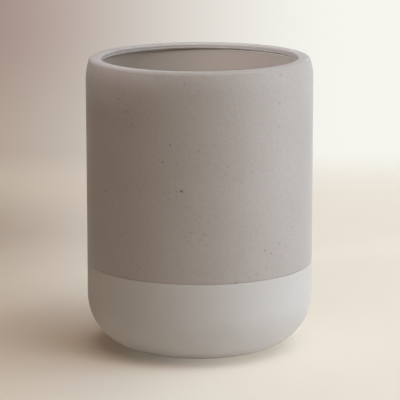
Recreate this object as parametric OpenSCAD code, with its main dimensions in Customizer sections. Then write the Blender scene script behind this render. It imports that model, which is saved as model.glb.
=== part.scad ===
// Open stoneware canister for a vanity: a slip-cast clay body in three coats, on four soft pads.
// Each coat is a solid of its own that lies against the clay.
// The origin is on the table under the middle of the pads, and +Z points up out of the mouth.

/* [Pot] */
// Outer diameter of the straight wall
pot_d = 100; // [90:1:120]
// Height from the foot ring to the top of the rim
pot_h = 129; // [110:1:150]
// Thickness of the wall, coats included
wall_t = 5.6; // [5:0.1:7]
// Thickness of the floor over the recess, coat included
floor_t = 5; // [4:0.5:9]
// Radius of the round corner between the wall and the foot
base_corner_r = 23; // [18:1:26]
// Radius of the round corner inside, between the wall and the floor
inner_corner_r = 16; // [8:1:20]

/* [Shoulder] */
// Radius of the long soft curve at the top of the wall
shoulder_r = 27; // [20:1:40]
// Radius of the small round at the crest of the rim
crest_r = 1.6; // [1:0.1:2]
// How far the centre of the crest's round stands in from the straight wall
crest_in = 2.9; // [2.5:0.1:3.4]

/* [Lip] */
// How far the lip stands in from the inner wall
lip_reach = 1.2; // [1.2:0.1:2]
// Height of the lip
lip_h = 2.3; // [2:0.1:3.5]
// Radius of the round edge between the rim and the lip's face
lip_edge_r = 0.9; // [0.6:0.05:1]
// Radius of the round edge at the foot of the lip's face
lip_foot_r = 0.6; // [0.55:0.05:0.65]
// Radius of the hollow where the underside of the lip meets the wall
lip_cove_r = 0.5; // [0.3:0.05:0.5]

/* [Foot] */
// Width of the flat foot ring
foot_ring_w = 4.5; // [3:0.5:6]
// Depth of the recess inside the foot ring
recess_depth = 1.4; // [1:0.1:1.6]
// Radius of the hollow corner of the recess
recess_corner_r = 0.8; // [0.4:0.1:0.9]
// Radius of the round edge between the recess and the foot ring
foot_edge_r = 0.6; // [0.3:0.1:0.9]

/* [Coats] */
// Height of the glaze line over the foot ring
glaze_line_h = 38; // [28:1:60]
// Thickness of the speckled glaze and of the matte slip
coat_t = 0.4; // [0.25:0.05:0.5]
// Thickness of the liner glaze
liner_t = 0.4; // [0.25:0.05:0.5]
// Width of bare clay left round the outside of the foot ring
bare_foot_w = 1.5; // [1:0.5:4]

/* [Pads] */
// Diameter of one pad
pad_d = 9; // [7:0.5:11]
// Thickness of one pad
pad_t = 2.2; // [1.9:0.1:3]
// Radius of the round edge about the pad's underside
pad_edge_r = 0.5; // [0.2:0.1:0.8]
// Gap between a pad and the foot ring
pad_gap = 2.5; // [1.5:0.5:4]

/* [Hidden] */
$fn = 180;
pad_count = 4;

// How far a cut runs past the face that it opens
overrun = 1;

pot_r = pot_d / 2;
in_r = pot_r - wall_t;
lip_r = in_r - lip_reach;

foot_z = pad_t - recess_depth;
recess_top_z = foot_z + recess_depth;
room_floor_z = recess_top_z + floor_t;
line_z = foot_z + glaze_line_h;
top_z = foot_z + pot_h;
lip_under_z = top_z - lip_h;
lip_base_z = lip_under_z - lip_cove_r;

foot_outer_r = pot_r - base_corner_r;
recess_r = foot_outer_r - foot_ring_w;
slip_edge_r = foot_outer_r + bare_foot_w;
pad_circle_r = recess_r - pad_gap - pad_d / 2;

// The long curve leaves the wall at the height of its centre and runs into the crest's round
shoulder_rise = sqrt(pow(shoulder_r - crest_r, 2) - pow(shoulder_r - crest_in, 2));
crest_angle = atan2(shoulder_rise, shoulder_r - crest_in);
crest_c = [pot_r - crest_in, top_z - crest_r];
shoulder_c = [pot_r - shoulder_r, crest_c.y - shoulder_rise];

// What a round of radius r leaves of the corner that it rounds: the corner points along dir
module corner_waste(centre, r, dir, inset = 0) {
    translate(centre)
        difference() {
            scale([dir.x, dir.y]) square(r + overrun);
            circle(r - inset);
        }
}

// What the shoulder's two curves cut from the square top corner of the outline
module shoulder_waste(inset) {
    reach = shoulder_r + overrun;
    difference() {
        translate(shoulder_c) square([reach, top_z - shoulder_c.y + overrun]);
        intersection() {
            translate(shoulder_c) circle(shoulder_r - inset);
            translate(shoulder_c) polygon([[0, 0], [reach, 0], [reach, reach * tan(crest_angle)]]);
        }
        translate(crest_c) circle(crest_r - inset);
        translate(shoulder_c)
            square([crest_c.x - shoulder_c.x, top_z - inset - shoulder_c.y]);
    }
}

// Half of the pot's outside as a filled shape, taken in by inset all round
module outer_outline(inset) {
    difference() {
        translate([0, foot_z + inset]) square([pot_r - inset, pot_h - 2 * inset]);
        corner_waste([foot_outer_r, foot_z + base_corner_r], base_corner_r, [1, -1], inset);
        shoulder_waste(inset);
    }
}

// Half of the room inside, open straight up, let out by grow all round
module room_outline(grow) {
    difference() {
        translate([0, room_floor_z - grow])
            square([in_r + grow, top_z - room_floor_z + grow + overrun]);
        corner_waste(
            [in_r - inner_corner_r, room_floor_z + inner_corner_r],
            inner_corner_r + grow, [1, -1]
        );
    }
}

// The lip that stands in from the wall, with round edges and a cove under it
module lip_outline(inset) {
    root_r = (in_r + crest_c.x) / 2;
    difference() {
        translate([lip_r + inset, lip_under_z + inset])
            square([root_r - lip_r - inset, lip_h - 2 * inset]);
        corner_waste([lip_r + lip_edge_r, top_z - lip_edge_r], lip_edge_r, [-1, 1], inset);
        corner_waste([lip_r + lip_foot_r, lip_under_z + lip_foot_r], lip_foot_r, [-1, -1], inset);
    }
    translate([in_r - lip_cove_r, lip_base_z])
        difference() {
            square([root_r - in_r + lip_cove_r, lip_cove_r + lip_h / 2]);
            circle(lip_cove_r + inset);
        }
}

// The shallow recess under the floor, with a hollow corner and a round edge to the foot ring
module recess_outline() {
    difference() {
        translate([0, foot_z - overrun]) square([recess_r, recess_depth + overrun]);
        corner_waste(
            [recess_r - recess_corner_r, recess_top_z - recess_corner_r],
            recess_corner_r, [1, 1]
        );
    }
    corner_waste([recess_r + foot_edge_r, foot_z + foot_edge_r], foot_edge_r, [-1, -1]);
}

// Half of the finished pot, coats included
module finished_section() {
    difference() {
        union() {
            difference() {
                outer_outline(0);
                room_outline(0);
            }
            lip_outline(0);
        }
        recess_outline();
    }
}

// Half of the fired clay alone: the foot is bare, and the rest is taken in by its coats
module clay_section() {
    difference() {
        union() {
            difference() {
                outer_outline(coat_t);
                room_outline(liner_t);
            }
            lip_outline(coat_t);
            intersection() {
                outer_outline(0);
                square([slip_edge_r, recess_top_z + floor_t / 2]);
            }
        }
        recess_outline();
    }
}

// Half of every coat together
module coat_section() {
    difference() {
        finished_section();
        clay_section();
    }
}

// Half of the coats on the outside of the wall
module outer_coat_section() {
    difference() {
        coat_section();
        room_outline(wall_t / 2);
    }
}

// Fired clay shell with its lip, foot ring and recess
module clay_body() {
    color("#b9ab9b") rotate_extrude() clay_section();
}

// Satin glaze with iron specks, from the glaze line over the rim to the cove under the lip
module speckled_glaze() {
    color("#a0968c")
        rotate_extrude() {
            intersection() {
                outer_coat_section();
                translate([0, line_z]) square([pot_r + overrun, pot_h]);
            }
            intersection() {
                coat_section();
                translate([0, lip_base_z]) square([pot_r + overrun, pot_h]);
            }
        }
}

// Pale matte slip over the lower wall and the round corner, to just outside the foot ring
module base_slip() {
    color("#bbb6b2")
        rotate_extrude()
            intersection() {
                outer_coat_section();
                square([pot_r + overrun, line_z]);
            }
}

// Plain glaze on the inside, from the cove under the lip down over the floor
module liner_glaze() {
    color("#ada298")
        rotate_extrude()
            intersection() {
                coat_section();
                room_outline(wall_t / 2);
                square([pot_r, lip_base_z]);
            }
}

// One soft clear pad, stuck to the roof of the recess
module foot_pad(i) {
    color("#d8dad6")
        rotate([0, 0, (i - 0.5) * 360 / pad_count])
            translate([pad_circle_r, 0, 0])
                rotate_extrude()
                    difference() {
                        square([pad_d / 2, pad_t]);
                        corner_waste([pad_d / 2 - pad_edge_r, pad_edge_r], pad_edge_r, [1, -1]);
                    }
}

clay_body();
speckled_glaze();
base_slip();
liner_glaze();
for (i = [1:pad_count])
    foot_pad(i);
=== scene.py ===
# Open stoneware pot for a vanity: speckled satin glaze above a band of pale matte slip
import math

import bmesh
import bpy
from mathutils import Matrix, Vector, noise


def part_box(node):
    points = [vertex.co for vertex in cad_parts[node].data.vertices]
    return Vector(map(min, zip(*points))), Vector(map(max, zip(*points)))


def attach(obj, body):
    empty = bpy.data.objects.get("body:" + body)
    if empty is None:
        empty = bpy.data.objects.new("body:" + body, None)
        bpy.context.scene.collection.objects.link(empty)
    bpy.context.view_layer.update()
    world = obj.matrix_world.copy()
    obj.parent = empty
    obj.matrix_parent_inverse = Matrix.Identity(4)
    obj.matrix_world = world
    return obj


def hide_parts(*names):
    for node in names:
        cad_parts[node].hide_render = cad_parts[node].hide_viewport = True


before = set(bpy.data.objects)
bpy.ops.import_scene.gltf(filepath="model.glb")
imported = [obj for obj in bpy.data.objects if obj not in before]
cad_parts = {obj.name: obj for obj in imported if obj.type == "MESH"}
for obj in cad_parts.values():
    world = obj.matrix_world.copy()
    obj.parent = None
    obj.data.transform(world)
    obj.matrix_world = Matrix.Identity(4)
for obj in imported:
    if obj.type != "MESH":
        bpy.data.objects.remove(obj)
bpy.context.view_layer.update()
print("frame loaded")

mm = 0.001

# radii and rounds of the pot; its heights come from the frame
pot = {
    "radius": 50 * mm,
    "baseCorner": 23 * mm,
    "shoulder": 27 * mm,
    "crest": 1.6 * mm,
    "crestIn": 2.9 * mm,
    "room": 44.4 * mm,
    "roomCorner": 16 * mm,
    "lipReach": 1.2 * mm,
    "lipHeight": 2.3 * mm,
    "lipEdge": 0.9 * mm,
    "lipFoot": 0.6 * mm,
    "lipCove": 0.5 * mm,
    "footRing": 4.5 * mm,
    "footEdge": 0.6 * mm,
    "recessCorner": 0.8 * mm,
    "bareFoot": 1.5 * mm,
    "coat": 0.4 * mm,
    "glazeEdge": 0.2 * mm,
    "slipEdge": 0.08 * mm,
    "turns": 240,  # faces round the axis
    "rowGap": 1.6 * mm,  # about how long a face is where the outline is straight
    "sharpAngle": 50,
}

# how many rows of faces each round gets
steps = {
    "baseCorner": 32,
    "shoulder": 14,
    "crest": 12,
    "lipEdge": 10,
    "lipFoot": 8,
    "lipCove": 8,
    "roomCorner": 24,
    "recessCorner": 6,
    "footEdge": 6,
    "bareFoot": 3,
    "coatEdge": 5,
}

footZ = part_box("clay_body")[0].z
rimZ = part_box("speckled_glaze")[1].z
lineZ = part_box("base_slip")[1].z
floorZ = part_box("liner_glaze")[0].z + pot["coat"]
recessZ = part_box("foot_pad_1")[1].z
lipBaseZ = rimZ - pot["lipHeight"] - pot["lipCove"]
mouthR = pot["room"] - pot["lipReach"]


def arc(centre, radius, start, end, count):
    # points on a round, from one angle in degrees to another
    turns = [math.radians(start + (end - start) * i / count) for i in range(count + 1)]
    return [(centre[0] + radius * math.cos(a), centre[1] + radius * math.sin(a)) for a in turns]


def straight(start, end):
    # points along a line, without its ends
    count = max(1, round(math.dist(start, end) / pot["rowGap"]))
    shares = [i / count for i in range(1, count)]
    return [tuple(a + (b - a) * s for a, b in zip(start, end)) for s in shares]


def joined(*paths):
    # one outline through several paths, with rows along the gaps between them
    outline = list(paths[0])
    for path in paths[1:]:
        outline += straight(outline[-1], path[0]) + list(path)
    return outline


baseCentre = (pot["radius"] - pot["baseCorner"], footZ + pot["baseCorner"])


def potRound(name, centre, start, end, grow=0):
    # one of the pot's rounds, let out or taken in where a coat lies on it
    return arc(centre, pot[name] + grow, start, end, steps[name])


def lowerSkin(inset):
    # from the edge of the bare foot round the corner and up to the glaze line
    start = -math.degrees(math.acos(pot["bareFoot"] / (pot["baseCorner"] - inset)))
    corner = potRound("baseCorner", baseCentre, start, 0, -inset)
    return joined(corner, [(pot["radius"] - inset, lineZ)])


def upperSkin(inset):
    # from the glaze line over the shoulder, rim and lip to the cove under the lip
    crestCentre = (pot["radius"] - pot["crestIn"], rimZ - pot["crest"])
    run = pot["shoulder"] - pot["crestIn"]
    rise = math.sqrt((pot["shoulder"] - pot["crest"]) ** 2 - run ** 2)
    meeting = math.degrees(math.atan2(rise, run))
    shoulderCentre = (pot["radius"] - pot["shoulder"], crestCentre[1] - rise)
    lipTop = (mouthR + pot["lipEdge"], rimZ - pot["lipEdge"])
    lipUnder = (mouthR + pot["lipFoot"], rimZ - pot["lipHeight"] + pot["lipFoot"])
    return joined(
        [(pot["radius"] - inset, lineZ)],
        potRound("shoulder", shoulderCentre, 0, meeting, -inset),
        potRound("crest", crestCentre, meeting, 90, -inset),
        potRound("lipEdge", lipTop, 90, 180, -inset),
        potRound("lipFoot", lipUnder, 180, 270, -inset),
        potRound("lipCove", (pot["room"] - pot["lipCove"], lipBaseZ), 90, 0, inset),
    )


def roomSkin(grow):
    # from the cove down the inner wall and over the floor to the axis
    centre = (pot["room"] - pot["roomCorner"], floorZ + pot["roomCorner"])
    return joined(
        [(pot["room"] + grow, lipBaseZ)],
        potRound("roomCorner", centre, 0, -90, grow),
        [(0, floorZ - grow)],
    )


def footSkin():
    # from the axis over the roof of the recess and the foot ring to the edge of the slip
    recess = baseCentre[0] - pot["footRing"]
    hollow = (recess - pot["recessCorner"], recessZ - pot["recessCorner"])
    edge = (recess + pot["footEdge"], footZ + pot["footEdge"])
    end = -math.degrees(math.acos(pot["bareFoot"] / pot["baseCorner"]))
    return joined(
        [(0, recessZ)],
        potRound("recessCorner", hollow, 90, 0),
        potRound("footEdge", edge, 180, 270),
        arc(baseCentre, pot["baseCorner"], -90, end, steps["bareFoot"]),
    )


# how far the hand-finished pot is from a perfect one
unevenness = {
    "wall": 0.07 * mm,
    "wallSpan": 34 * mm,
    "wallFoot": (4 * mm, 20 * mm),  # it sets in between these heights
    "rimDrop": 0.35 * mm,  # on the left, and none on the right
    "line": 0.1 * mm,
    "lineReach": 4 * mm,
    "lineLobes": 2.3,
}


def smooth(value, low, high):
    # 0 below the first value, 1 above the second, and a soft change between them
    share = min(1, max(0, (value - low) / (high - low)))
    return share * share * (3 - 2 * share)


def fired(point):
    # the wall moves inwards only, and the rim only down, so the pot stays inside its true size
    x, y, z = point
    height = smooth(z - footZ, *unevenness["wallFoot"])
    swell = 0.5 + 0.5 * noise.noise(Vector((x, y, z)) / unevenness["wallSpan"])
    shrink = 1 - height * unevenness["wall"] * swell / pot["radius"]
    drop = unevenness["rimDrop"] * (1 - x / pot["radius"]) / 2
    z -= drop * smooth(z, rimZ / 2, rimZ)
    if math.hypot(x, y) > pot["radius"] - 2 * pot["coat"]:
        around = Vector((x, y, 0)).normalized() * unevenness["lineLobes"]
        near = 1 - smooth(abs(point[2] - lineZ), 0, unevenness["lineReach"])
        z += unevenness["line"] * noise.noise(around) * near
    return (x * shrink, y * shrink, z)


def lathe(name, outline, looped):
    # turns an outline about the axis; a point on the axis becomes one vertex
    mesh = bmesh.new()
    allRound = [2 * math.pi * i / pot["turns"] for i in range(pot["turns"])]
    rings = []
    for radius, z in outline:
        angles = allRound if radius else [0]
        points = [(radius * math.cos(a), radius * math.sin(a), z) for a in angles]
        rings.append([mesh.verts.new(fired(point)) for point in points])
    pairs = list(zip(rings, rings[1:]))
    if looped:
        pairs.append((rings[-1], rings[0]))
    for low, high in pairs:
        for i in range(max(len(low), len(high))):
            j = (i + 1) % pot["turns"]
            corners = [low[i % len(low)], low[j % len(low)], high[j % len(high)], high[i % len(high)]]
            mesh.faces.new(list(dict.fromkeys(corners)))
    bmesh.ops.recalc_face_normals(mesh, faces=mesh.faces)
    data = bpy.data.meshes.new(name)
    mesh.to_mesh(data)
    mesh.free()
    data.shade_smooth()
    data.set_sharp_from_angle(angle=math.radians(pot["sharpAngle"]))
    piece = bpy.data.objects.new(name, data)
    bpy.context.scene.collection.objects.link(piece)
    return piece


def rounded(outline, size):
    # softens the first corner of a coat's closed outline, where its edge shows
    first, second, last = (Vector(outline[i]) for i in (0, 1, -1))
    along = (second - first).normalized() * size
    across = (last - first).normalized() * size
    corner = []
    for i in range(steps["coatEdge"] + 1):
        turn = math.pi / 2 * i / steps["coatEdge"]
        corner.append(tuple(first + across * (1 - math.sin(turn)) + along * (1 - math.cos(turn))))
    return corner + outline[1:]


def addNode(tree, kind, inputs=None, **settings):
    # a node with its settings; an input is a value or the socket that feeds it
    node = tree.nodes.new(kind)
    for key, value in settings.items():
        setattr(node, key, value)
    for key, value in (inputs or {}).items():
        if isinstance(value, bpy.types.NodeSocket):
            tree.links.new(value, node.inputs[key])
        else:
            node.inputs[key].default_value = value
    return node


def blended(tree, value, span, start, end, most=1):
    # a soft change from one paint to another while a value runs over a span
    share = addNode(tree, "ShaderNodeMapRange", {
        "Value": value, "From Min": span[0], "From Max": span[1], "To Max": most,
    }, interpolation_type="SMOOTHSTEP")
    return addNode(tree, "ShaderNodeMix", {
        0: share.outputs["Result"], 6: start, 7: end}, data_type="RGBA").outputs[2]


def colour(code):
    # an sRGB hex colour as the linear values that the shader wants
    parts = [int(code[i:i + 2], 16) / 255 for i in (1, 3, 5)]
    linear = [p / 12.92 if p <= 0.04045 else ((p + 0.055) / 1.055) ** 2.4 for p in parts]
    return (*linear, 1)


def newMaterial(name):
    # an empty material, its node tree, and the place on the piece in true size
    material = bpy.data.materials.new(name)
    material.use_nodes = True
    tree = material.node_tree
    tree.nodes.clear()
    return material, tree, addNode(tree, "ShaderNodeTexCoord").outputs["Object"]


def clouded(tree, place, look):
    # two near tones of one paint in soft clouds, and the roughness, which may drift with them
    clouds = addNode(tree, "ShaderNodeTexNoise", {
        "Vector": place, "Scale": 1 / look["cloudSpan"], "Detail": look["cloudDetail"],
        "Roughness": look.get("cloudRoughness", 0.5)}).outputs["Fac"]
    paint = addNode(tree, "ShaderNodeMix", {
        0: clouds, 6: colour(look["colour"]), 7: colour(look["cloud"])}, data_type="RGBA")
    roughness = look["roughness"]
    if "roughnessDrift" in look:
        roughness = addNode(tree, "ShaderNodeMapRange", {
            "Value": clouds, "From Min": look["cloudRange"][0], "From Max": look["cloudRange"][1],
            "To Min": roughness - look["roughnessDrift"],
            "To Max": roughness + look["roughnessDrift"]}).outputs["Result"]
    return paint.outputs[2], roughness


def grained(tree, place, span, depth):
    # a fine unevenness all over the surface
    grain = addNode(tree, "ShaderNodeTexNoise", {"Vector": place, "Scale": 1 / span, "Detail": 2})
    return addNode(tree, "ShaderNodeBump", {
        "Height": grain.outputs["Fac"], "Distance": depth, "Strength": 1}).outputs["Normal"]


glaze = {
    "colour": "#A9A19C",
    "cloud": "#A19993",
    "cloudSpan": 22 * mm,
    "cloudDetail": 3,
    "cloudRange": (0.3, 0.7),
    "mottle": "#8F877F",
    "mottleSpan": 1.3 * mm,
    "mottleRange": (0.42, 0.8),
    "mottleShare": 0.3,
    "edge": "#94836F",
    "edgeWidth": 0.55 * mm,
    "edgeShare": 0.8,
    # a pale paint under the lip: painted light, in place of the shade there
    "paintedLight": "#F2EDE6",
    "paintedLightDepth": (1.7 * mm, 2.15 * mm),  # below the rim
    "paintedLightReach": (1.8 * mm, 0.9 * mm),  # out from the mouth
    "roughness": 0.52,
    "roughnessDrift": 0.03,
    "ior": 1.5,
    "sheen": 0.32,
    "sheenRoughness": 0.35,
    "sheenTint": "#E2EEFF",
    "peelSpan": 1.1 * mm,
    "peelDepth": 0.008 * mm,
    "driftSpan": 21 * mm,  # about from where specks are many to where they are few
    "driftRange": (0.34, 0.6),
    "driftLeast": 0.68,
    "wobbleSpan": 0.8 * mm,
    "wobble": 0.35 * mm,
    "core": 0.45,  # the share of a speck's radius that has its full strength
    "specks": [
        {"spacing": 3.1 * mm, "size": 0.78 * mm, "share": 0.42, "strength": 0.4, "tint": "#463C35"},
        {"spacing": 2.2 * mm, "size": 0.74 * mm, "share": 0.5, "strength": 0.2, "tint": "#544A42"},
        {"spacing": 7.5 * mm, "size": 0.85 * mm, "share": 0.35, "strength": 0.7, "tint": "#463C35"},
    ],
}


def paintedLightUnderLip(tree, axes):
    # where painted light stands in for light under the lip: 1 on the underside of the lip, a little
    # less in its cove, and 0 elsewhere
    level = addNode(tree, "ShaderNodeCombineXYZ", {
        "X": axes.outputs["X"], "Y": axes.outputs["Y"]})
    out = addNode(tree, "ShaderNodeVectorMath", {0: level.outputs["Vector"]}, operation="LENGTH")
    inward = addNode(tree, "ShaderNodeMapRange", {
        "Value": out.outputs["Value"], "From Min": mouthR + glaze["paintedLightReach"][0],
        "From Max": mouthR + glaze["paintedLightReach"][1]}, interpolation_type="SMOOTHSTEP")
    below = addNode(tree, "ShaderNodeMapRange", {
        "Value": axes.outputs["Z"], "From Min": rimZ - glaze["paintedLightDepth"][0],
        "From Max": rimZ - glaze["paintedLightDepth"][1]}, interpolation_type="SMOOTHSTEP")
    return addNode(tree, "ShaderNodeMath", {
        0: inward.outputs["Result"], 1: below.outputs["Result"],
    }, operation="MULTIPLY").outputs["Value"]


def specked(tree, place, paint):
    # iron that burned through as dark specks; a little noise keeps them from being true dots
    wobble = addNode(tree, "ShaderNodeTexNoise", {
        "Vector": place, "Scale": 1 / glaze["wobbleSpan"], "Detail": 1})
    wobble = addNode(tree, "ShaderNodeVectorMath", {
        0: wobble.outputs["Color"], 1: (0.5, 0.5, 0.5)}, operation="SUBTRACT")
    wobble = addNode(tree, "ShaderNodeVectorMath", {
        0: wobble.outputs["Vector"], "Scale": glaze["wobble"]}, operation="SCALE")
    uneven = addNode(tree, "ShaderNodeVectorMath", {
        0: place, 1: wobble.outputs["Vector"]}, operation="ADD").outputs["Vector"]
    drift = addNode(tree, "ShaderNodeTexNoise", {
        "Vector": place, "Scale": 1 / glaze["driftSpan"], "Detail": 1})
    drift = addNode(tree, "ShaderNodeMapRange", {
        "Value": drift.outputs["Fac"], "From Min": glaze["driftRange"][0],
        "From Max": glaze["driftRange"][1], "To Min": glaze["driftLeast"]})
    # each cell holds a speck by chance, and its luck decides how large the speck is
    for speck in glaze["specks"]:
        cells = addNode(tree, "ShaderNodeTexVoronoi", {
            "Vector": uneven, "Scale": 1 / speck["spacing"]}, feature="F1")
        chance = addNode(tree, "ShaderNodeSeparateColor", {0: cells.outputs["Color"]})
        reach = speck["size"] / speck["spacing"]
        luck = addNode(tree, "ShaderNodeMath", {
            0: chance.outputs["Red"], 1: drift.outputs["Result"]}, operation="MULTIPLY")
        size = addNode(tree, "ShaderNodeMapRange", {
            "Value": luck.outputs["Value"], "From Min": 1 - speck["share"], "To Max": reach})
        core = addNode(tree, "ShaderNodeMath", {
            0: size.outputs["Result"], 1: glaze["core"]}, operation="MULTIPLY")
        paint = blended(tree, cells.outputs["Distance"],
                        (size.outputs["Result"], core.outputs["Value"]),
                        paint, colour(speck["tint"]), speck["strength"])
    return paint


def speckledGlaze():
    # sprayed satin glaze: soft sheen, faint clouds and mottle, dark iron specks, and painted light
    # under the lip
    material, tree, place = newMaterial("satinSpeckledGlaze")
    paint, roughness = clouded(tree, place, glaze)
    grain = addNode(tree, "ShaderNodeTexNoise", {
        "Vector": place, "Scale": 1 / glaze["mottleSpan"], "Detail": 2})
    mottle = addNode(tree, "ShaderNodeMapRange", {
        "Value": grain.outputs["Fac"], "From Min": glaze["mottleRange"][0],
        "From Max": glaze["mottleRange"][1], "To Max": glaze["mottleShare"]})
    paint = addNode(tree, "ShaderNodeMix", {
        0: mottle.outputs["Result"], 6: paint, 7: colour(glaze["mottle"]),
    }, data_type="RGBA").outputs[2]

    # a darker tan line runs along its lower edge
    axes = addNode(tree, "ShaderNodeSeparateXYZ", {0: place})
    paint = blended(tree, axes.outputs["Z"], (lineZ + glaze["edgeWidth"], lineZ),
                    paint, colour(glaze["edge"]), glaze["edgeShare"])
    # painted light: a pale paint under the lip, where shade falls, lifts the shade there
    paint = addNode(tree, "ShaderNodeMix", {
        0: paintedLightUnderLip(tree, axes), 6: paint, 7: colour(glaze["paintedLight"]),
    }, data_type="RGBA").outputs[2]

    shader = addNode(tree, "ShaderNodeBsdfPrincipled", {
        "Base Color": specked(tree, place, paint), "Roughness": roughness, "IOR": glaze["ior"],
        "Normal": grained(tree, place, glaze["peelSpan"], glaze["peelDepth"]),
        "Sheen Weight": glaze["sheen"], "Sheen Roughness": glaze["sheenRoughness"],
        "Sheen Tint": colour(glaze["sheenTint"])})
    addNode(tree, "ShaderNodeOutputMaterial", {"Surface": shader.outputs["BSDF"]})
    return material


slip = {
    "colour": "#BFBBB7",
    "cloud": "#B8B4B0",
    "cloudSpan": 18 * mm,
    "cloudDetail": 4,
    "cloudRoughness": 0.55,
    "roughness": 0.66,
    "ior": 1.45,
    "sheen": 0.04,
    "grainSpan": 0.45 * mm,  # real slip is finer, and this is as coarse as it needs to show
    "grainDepth": 0.01 * mm,
}


def matteSlip():
    # pale slip, dipped and wiped smooth: no specks, almost no shine, a dry fine grain
    material, tree, place = newMaterial("matteSlip")
    paint, roughness = clouded(tree, place, slip)
    shader = addNode(tree, "ShaderNodeBsdfPrincipled", {
        "Base Color": paint, "Roughness": roughness, "IOR": slip["ior"],
        "Normal": grained(tree, place, slip["grainSpan"], slip["grainDepth"]),
        "Sheen Weight": slip["sheen"]})
    addNode(tree, "ShaderNodeOutputMaterial", {"Surface": shader.outputs["BSDF"]})
    return material


liner = {
    "colour": "#ADA298",
    "cloud": "#A5998E",
    "cloudSpan": 26 * mm,
    "cloudDetail": 3,
    "cloudRange": (0.3, 0.7),
    # a pale paint in the cove under the lip: painted light, in place of the shade there
    "paintedLight": "#F2EDE6",
    "paintedLightHeight": 0.6 * mm,
    "roughness": 0.4,
    "roughnessDrift": 0.04,
    "ior": 1.5,
}


def linerGlaze():
    # poured liner glaze: plain and even, without iron, a little paler than the outside, with painted
    # light in the cove under the lip
    material, tree, place = newMaterial("linerGlaze")
    paint, roughness = clouded(tree, place, liner)
    # painted light: a pale paint in the cove under the lip, where shade falls, lifts the shade there
    height = addNode(tree, "ShaderNodeSeparateXYZ", {0: place}).outputs["Z"]
    paint = blended(tree, height, (lipBaseZ - liner["paintedLightHeight"], lipBaseZ),
                    paint, colour(liner["paintedLight"]))
    shader = addNode(tree, "ShaderNodeBsdfPrincipled", {
        "Base Color": paint, "Roughness": roughness, "IOR": liner["ior"]})
    addNode(tree, "ShaderNodeOutputMaterial", {"Surface": shader.outputs["BSDF"]})
    return material


clay = {
    "colour": "#C3B5A4",
    "cloud": "#B6A692",
    "cloudSpan": 12 * mm,
    "cloudDetail": 4,
    "grogSpan": 0.7 * mm,
    "grogTint": "#A4937F",
    "grogRange": (0.55, 0.72),
    "grogShare": 0.7,
    "roughness": 0.85,
    "grogDepth": 0.04 * mm,
}


def firedClay():
    # bare stoneware: dry, warm and a little sandy, with paler and darker grog grains
    material, tree, place = newMaterial("firedClay")
    paint, roughness = clouded(tree, place, clay)
    grains = addNode(tree, "ShaderNodeTexNoise", {
        "Vector": place, "Scale": 1 / clay["grogSpan"], "Detail": 3, "Roughness": 0.6})
    picked = addNode(tree, "ShaderNodeMapRange", {
        "Value": grains.outputs["Fac"], "From Min": clay["grogRange"][0],
        "From Max": clay["grogRange"][1], "To Max": clay["grogShare"]})
    paint = addNode(tree, "ShaderNodeMix", {
        0: picked.outputs["Result"], 6: paint, 7: colour(clay["grogTint"]),
    }, data_type="RGBA").outputs[2]
    bump = addNode(tree, "ShaderNodeBump", {
        "Height": grains.outputs["Fac"], "Distance": clay["grogDepth"], "Strength": 1})
    shader = addNode(tree, "ShaderNodeBsdfPrincipled", {
        "Base Color": paint, "Roughness": roughness, "Normal": bump.outputs["Normal"]})
    addNode(tree, "ShaderNodeOutputMaterial", {"Surface": shader.outputs["BSDF"]})
    return material


pad = {
    "colour": "#DCDED9",
    "cloud": "#CFD2CC",
    "cloudSpan": 3 * mm,
    "cloudDetail": 2,
    "roughness": 0.38,
    "ior": 1.41,
    "clearness": 0.55,
    "sharpAngle": 40,
}


def clearSilicone():
    # moulded silicone: milky, with a soft shine and a slight haze
    material, tree, place = newMaterial("clearSilicone")
    paint, roughness = clouded(tree, place, pad)
    shader = addNode(tree, "ShaderNodeBsdfPrincipled", {
        "Base Color": paint, "Roughness": roughness, "IOR": pad["ior"],
        "Transmission Weight": pad["clearness"]})
    addNode(tree, "ShaderNodeOutputMaterial", {"Surface": shader.outputs["BSDF"]})
    return material


def dress(name, outline, looped, node, material):
    # one turned piece in the place of its node
    piece = lathe(name, outline, looped)
    piece.data.materials.append(material)
    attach(piece, "root")
    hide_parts(node)


glazeOutline = rounded(upperSkin(0) + upperSkin(pot["coat"])[::-1], pot["glazeEdge"])
slipOutline = rounded(lowerSkin(0)[::-1] + lowerSkin(pot["coat"]), pot["slipEdge"])
roomOutline = roomSkin(0)[::-1] + roomSkin(pot["coat"])
clayOutline = joined(footSkin(), lowerSkin(pot["coat"]))
clayOutline += upperSkin(pot["coat"])[1:] + roomSkin(pot["coat"])[1:]

dress("glazeCoat", glazeOutline, True, "speckled_glaze", speckledGlaze())
dress("slipCoat", slipOutline, True, "base_slip", matteSlip())
print("glaze and slip made")

# the room's outline starts and ends on the axis, so it closes over the open end at the cove
dress("linerCoat", roomOutline, False, "liner_glaze", linerGlaze())
dress("clayShell", clayOutline, False, "clay_body", firedClay())
print("liner and clay made")

silicone = clearSilicone()
for name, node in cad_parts.items():
    if name.startswith("foot_pad"):
        node.data.materials.clear()
        node.data.materials.append(silicone)
        node.data.shade_smooth()
        node.data.set_sharp_from_angle(angle=math.radians(pad["sharpAngle"]))
print("pads finished")


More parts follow.
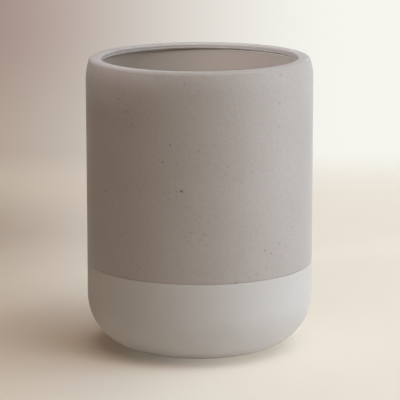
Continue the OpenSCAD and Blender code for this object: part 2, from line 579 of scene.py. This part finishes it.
stage = {
    # painted light and shade: the sheet is darker on the left and at the top of the wall and bright
    # on the right, as light falls from the right, and darker at the seam, where shade falls
    "floorLeftShaded": "#E1CCB4",
    "floorRight": "#F2EADF",
    "floorSweep": (-0.2, 0.02),
    "seamShade": "#A98F77",
    "seamShadeDepth": (0.03, 0.235),
    "seamShadeHeight": (0.03, 0.004),
    "wallLeftShaded": "#AC9B8D",
    "wallTopShaded": "#9E867C",
    "topHeight": (0.04, 0.11),
    "wallRightLit": "#F6F6EF",
    "wallSweep": (-0.15, 0.09),
    "roughness": 0.9,
    "gloss": 0.1,
    "wallY": 0.27,
    "coveRadius": 0.04,
    "coveSteps": 16,
    "halfWidth": 1.6,
    "nearY": -1.9,
    "height": 1.3,
    # painted light: a glow on the right of the floor that lifts its shadow
    "paintedLift": 0.5,
    "paintedLiftSweep": (-0.045, 0.03),
    "paintedLiftPaint": "#E6DCCC",
    "farSpan": (0.36, 0.95),
    "far": "#D6CCC2",
}


def seenRays(tree):
    # 1 for what the eye, the gloss and clear things see, 0 for the light that is thrown back
    rays = addNode(tree, "ShaderNodeLightPath")
    seen = rays.outputs["Is Camera Ray"]
    for kind in ("Is Glossy Ray", "Is Transmission Ray"):
        seen = addNode(tree, "ShaderNodeMath", {
            0: seen, 1: rays.outputs[kind]}, operation="MAXIMUM").outputs["Value"]
    return seen


def sheetPaints(tree, axes):
    # the floor's paint and the wall's, with painted light and shade: beige and darker on the left,
    # pale and bright on the right, the wall darker towards its top on the left, and a painted shade
    # at the seam
    floorPaint = blended(tree, axes.outputs["Y"], stage["seamShadeDepth"],
                         colour(stage["floorLeftShaded"]), colour(stage["seamShade"]))
    floorPaint = blended(tree, axes.outputs["X"], stage["floorSweep"],
                         floorPaint, colour(stage["floorRight"]))
    wallPaint = blended(tree, axes.outputs["Z"], stage["topHeight"],
                        colour(stage["wallLeftShaded"]), colour(stage["wallTopShaded"]))
    wallPaint = blended(tree, axes.outputs["Z"], stage["seamShadeHeight"],
                        wallPaint, colour(stage["seamShade"]))
    wallPaint = blended(tree, axes.outputs["X"], stage["wallSweep"],
                        wallPaint, colour(stage["wallRightLit"]))
    return floorPaint, wallPaint


def sheetGlow(tree, place, axes, wallPaint):
    # what the sheet shows as a glow of painted colour, with the wall's painted light and shade in it,
    # without lamp light or shadow, and how much of it
    rise = addNode(tree, "ShaderNodeMapRange", {
        "Value": axes.outputs["Z"], "From Max": stage["coveRadius"],
    }, interpolation_type="SMOOTHSTEP")
    # on the right a painted light lifts the floor's shadow a little, and far away all is one pale
    # tone
    paintedLift = addNode(tree, "ShaderNodeMapRange", {
        "Value": axes.outputs["X"], "From Min": stage["paintedLiftSweep"][0],
        "From Max": stage["paintedLiftSweep"][1], "To Max": stage["paintedLift"],
    }, interpolation_type="SMOOTHSTEP")
    away = addNode(tree, "ShaderNodeVectorMath", {0: place}, operation="LENGTH")
    far = addNode(tree, "ShaderNodeMapRange", {
        "Value": away.outputs["Value"], "From Min": stage["farSpan"][0],
        "From Max": stage["farSpan"][1]}, interpolation_type="SMOOTHSTEP")
    glowPaint = addNode(tree, "ShaderNodeMix", {
        0: rise.outputs["Result"], 6: colour(stage["paintedLiftPaint"]), 7: wallPaint,
    }, data_type="RGBA").outputs[2]
    glowPaint = addNode(tree, "ShaderNodeMix", {
        0: far.outputs["Result"], 6: glowPaint, 7: colour(stage["far"]),
    }, data_type="RGBA").outputs[2]
    glow = addNode(tree, "ShaderNodeEmission", {"Color": glowPaint, "Strength": 1})
    share = rise.outputs["Result"]
    for operation, other in (
            ("MAXIMUM", paintedLift.outputs["Result"]), ("MAXIMUM", far.outputs["Result"]),
            ("MULTIPLY", seenRays(tree))):
        share = addNode(tree, "ShaderNodeMath", {
            0: share, 1: other}, operation=operation).outputs["Value"]
    return glow.outputs["Emission"], share


def matteSheet():
    # matte paper: the floor keeps the shadow, and the wall shows a glow of painted colour with
    # painted light and shade in it
    material, tree, place = newMaterial("paperBackdrop")
    axes = addNode(tree, "ShaderNodeSeparateXYZ", {0: place})
    floorPaint, wallPaint = sheetPaints(tree, axes)
    paper = addNode(tree, "ShaderNodeBsdfPrincipled", {
        "Base Color": floorPaint, "Roughness": stage["roughness"],
        "Specular IOR Level": stage["gloss"]})
    glow, share = sheetGlow(tree, place, axes, wallPaint)
    blend = addNode(tree, "ShaderNodeMixShader", {0: share, 1: paper.outputs["BSDF"], 2: glow})

    # the sheet hides nothing from behind or below, and lets the glow under the table through
    back = addNode(tree, "ShaderNodeNewGeometry").outputs["Backfacing"]
    shadow = addNode(tree, "ShaderNodeLightPath").outputs["Is Shadow Ray"]
    through = addNode(tree, "ShaderNodeMath", {0: back, 1: shadow}, operation="MAXIMUM")
    clear = addNode(tree, "ShaderNodeBsdfTransparent")
    sheetLook = addNode(tree, "ShaderNodeMixShader", {
        0: through.outputs["Value"], 1: blend.outputs["Shader"], 2: clear.outputs["BSDF"]})
    addNode(tree, "ShaderNodeOutputMaterial", {"Surface": sheetLook.outputs["Shader"]})
    return material


def backdrop():
    # floor and wall in one sheet with a soft bend
    radius = stage["coveRadius"]
    bend = arc((stage["wallY"] - radius, radius), radius, -90, 0, stage["coveSteps"])
    profile = [(stage["nearY"], 0)] + bend + [(stage["wallY"], stage["height"])]
    verts = [(side * stage["halfWidth"], y, z) for y, z in profile for side in (-1, 1)]
    faces = [(2 * i, 2 * i + 1, 2 * i + 3, 2 * i + 2) for i in range(len(profile) - 1)]
    data = bpy.data.meshes.new("backdrop")
    data.from_pydata(verts, [], faces)
    data.shade_smooth()
    data.materials.append(matteSheet())
    sheet = bpy.data.objects.new("backdrop", data)
    bpy.context.scene.collection.objects.link(sheet)


backdrop()

lamps = {
    "window": {"place": (1.0, -0.27, 0.1), "size": (1.1, 0.2), "watts": 6.1, "colour": "#E8F1FF"},
    "skylight": {"place": (0.6, -0.2, 1.0), "size": (0.8, 0.8), "watts": 7.1, "colour": "#E1F5FF"},
    "ceiling": {"place": (0.1, -0.5, 1.0), "size": (0.8, 0.6), "watts": 3.1, "colour": "#FFF0E6"},
    "backWindow": {"place": (0.95, 0.8, 0.4), "size": (0.5, 0.5), "watts": 3.0, "colour": "#A8D2FF"},
    "tableGlow": {"place": (0.05, -0.1, -0.5), "size": (0.9, 0.7), "watts": 1.0, "colour": "#FFFCEF"},
}
potMiddle = (0, 0, 0.07)
mouthLamp = {
    "place": (-0.11, -0.09, 0.26),
    "aim": (0.004, 0.008, 0.13),
    "cone": 25,
    "blend": 0.2,
    "softness": 0.02,
    "watts": 1.75,
    "colour": "#F5F7FF",
}


def shine(name, kind, lamp, aim):
    # one lamp, turned to where it aims
    data = bpy.data.lights.new(name, kind)
    data.energy = lamp["watts"]
    data.color = colour(lamp["colour"])[:3]
    light = bpy.data.objects.new(name, data)
    light.location = lamp["place"]
    light.rotation_euler = (Vector(aim) - light.location).to_track_quat("-Z", "Y").to_euler()
    bpy.context.scene.collection.objects.link(light)
    return data


for name, lamp in lamps.items():
    panel = shine(name, "AREA", lamp, potMiddle)
    panel.shape = "RECTANGLE"
    panel.size, panel.size_y = lamp["size"]

# a small soft spot over the mouth, mostly for the inside
spot = shine("mouthLamp", "SPOT", mouthLamp, mouthLamp["aim"])
spot.spot_size = math.radians(mouthLamp["cone"])
spot.spot_blend = mouthLamp["blend"]
spot.shadow_soft_size = mouthLamp["softness"]

room = {"seen": "#D6CCC2", "light": "#665A51"}


def paleRoom():
    # a pale room to look at, and a faint warm light from it
    world = bpy.data.worlds.new("room")
    world.use_nodes = True
    tree = world.node_tree
    paint = addNode(tree, "ShaderNodeMix", {
        0: seenRays(tree), 6: colour(room["light"]), 7: colour(room["seen"])}, data_type="RGBA")
    tree.links.new(paint.outputs[2], tree.nodes["Background"].inputs["Color"])
    bpy.context.scene.world = world


paleRoom()
print("stage and light made")

# worked out from the photograph's outlines; the lens and its sensor are in millimetres
view = {"place": (0.0002, -1.0038, 0.2735), "down": 11.711, "lens": 207.8, "sensor": 36}
camera = bpy.data.objects.new("camera", bpy.data.cameras.new("camera"))
camera.location = view["place"]
camera.rotation_euler = (math.radians(90 - view["down"]), 0, 0)
camera.data.lens = view["lens"]
camera.data.sensor_width = view["sensor"]
bpy.context.scene.collection.objects.link(camera)
bpy.context.scene.camera = camera
bpy.context.scene.view_settings.view_transform = "Standard"
